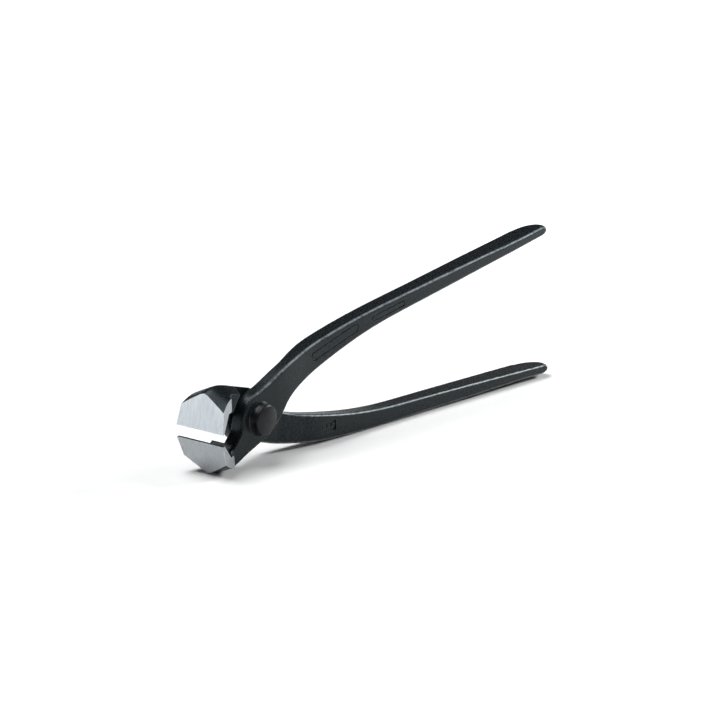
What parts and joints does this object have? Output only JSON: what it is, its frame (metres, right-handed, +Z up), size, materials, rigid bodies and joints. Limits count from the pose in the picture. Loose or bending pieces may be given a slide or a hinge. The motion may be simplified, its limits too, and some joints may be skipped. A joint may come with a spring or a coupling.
{
  "type": "end-cutting nippers",
  "caption": "Forged concreter's end-cutting nippers: two crossed levers on a rivet, wide ground jaws and long slim bowed handles.",
  "frame": {"origin": "middle of the footprint, on the surface the tool stands on", "axes": "+X from the jaws towards the handle tips, +Y from the rivet's big head towards its formed tail, +Z up, from the lower handle to the upper one"},
  "size_m": [0.222, 0.023, 0.0674],
  "materials": {
    "blackened_steel": "black oxide over a blasted forging, fine grainy satin, with the jaws' front and side faces ground bright",
    "rivet_steel": "blackened, smoother and glossier than the levers"
  },
  "bodies": {
    "front": {"front_lever": "blackened_steel", "rivet": "rivet_steel"},
    "rear": {"rear_lever": "blackened_steel"}
  },
  "joints": [
    {"name": "pivot", "type": "hinge", "parent": "front", "child": "rear", "pos_m": [-0.08365, 0, 0.01811], "axis": [0, 1, 0], "range_deg": [-9.5, 64]}
  ]
}
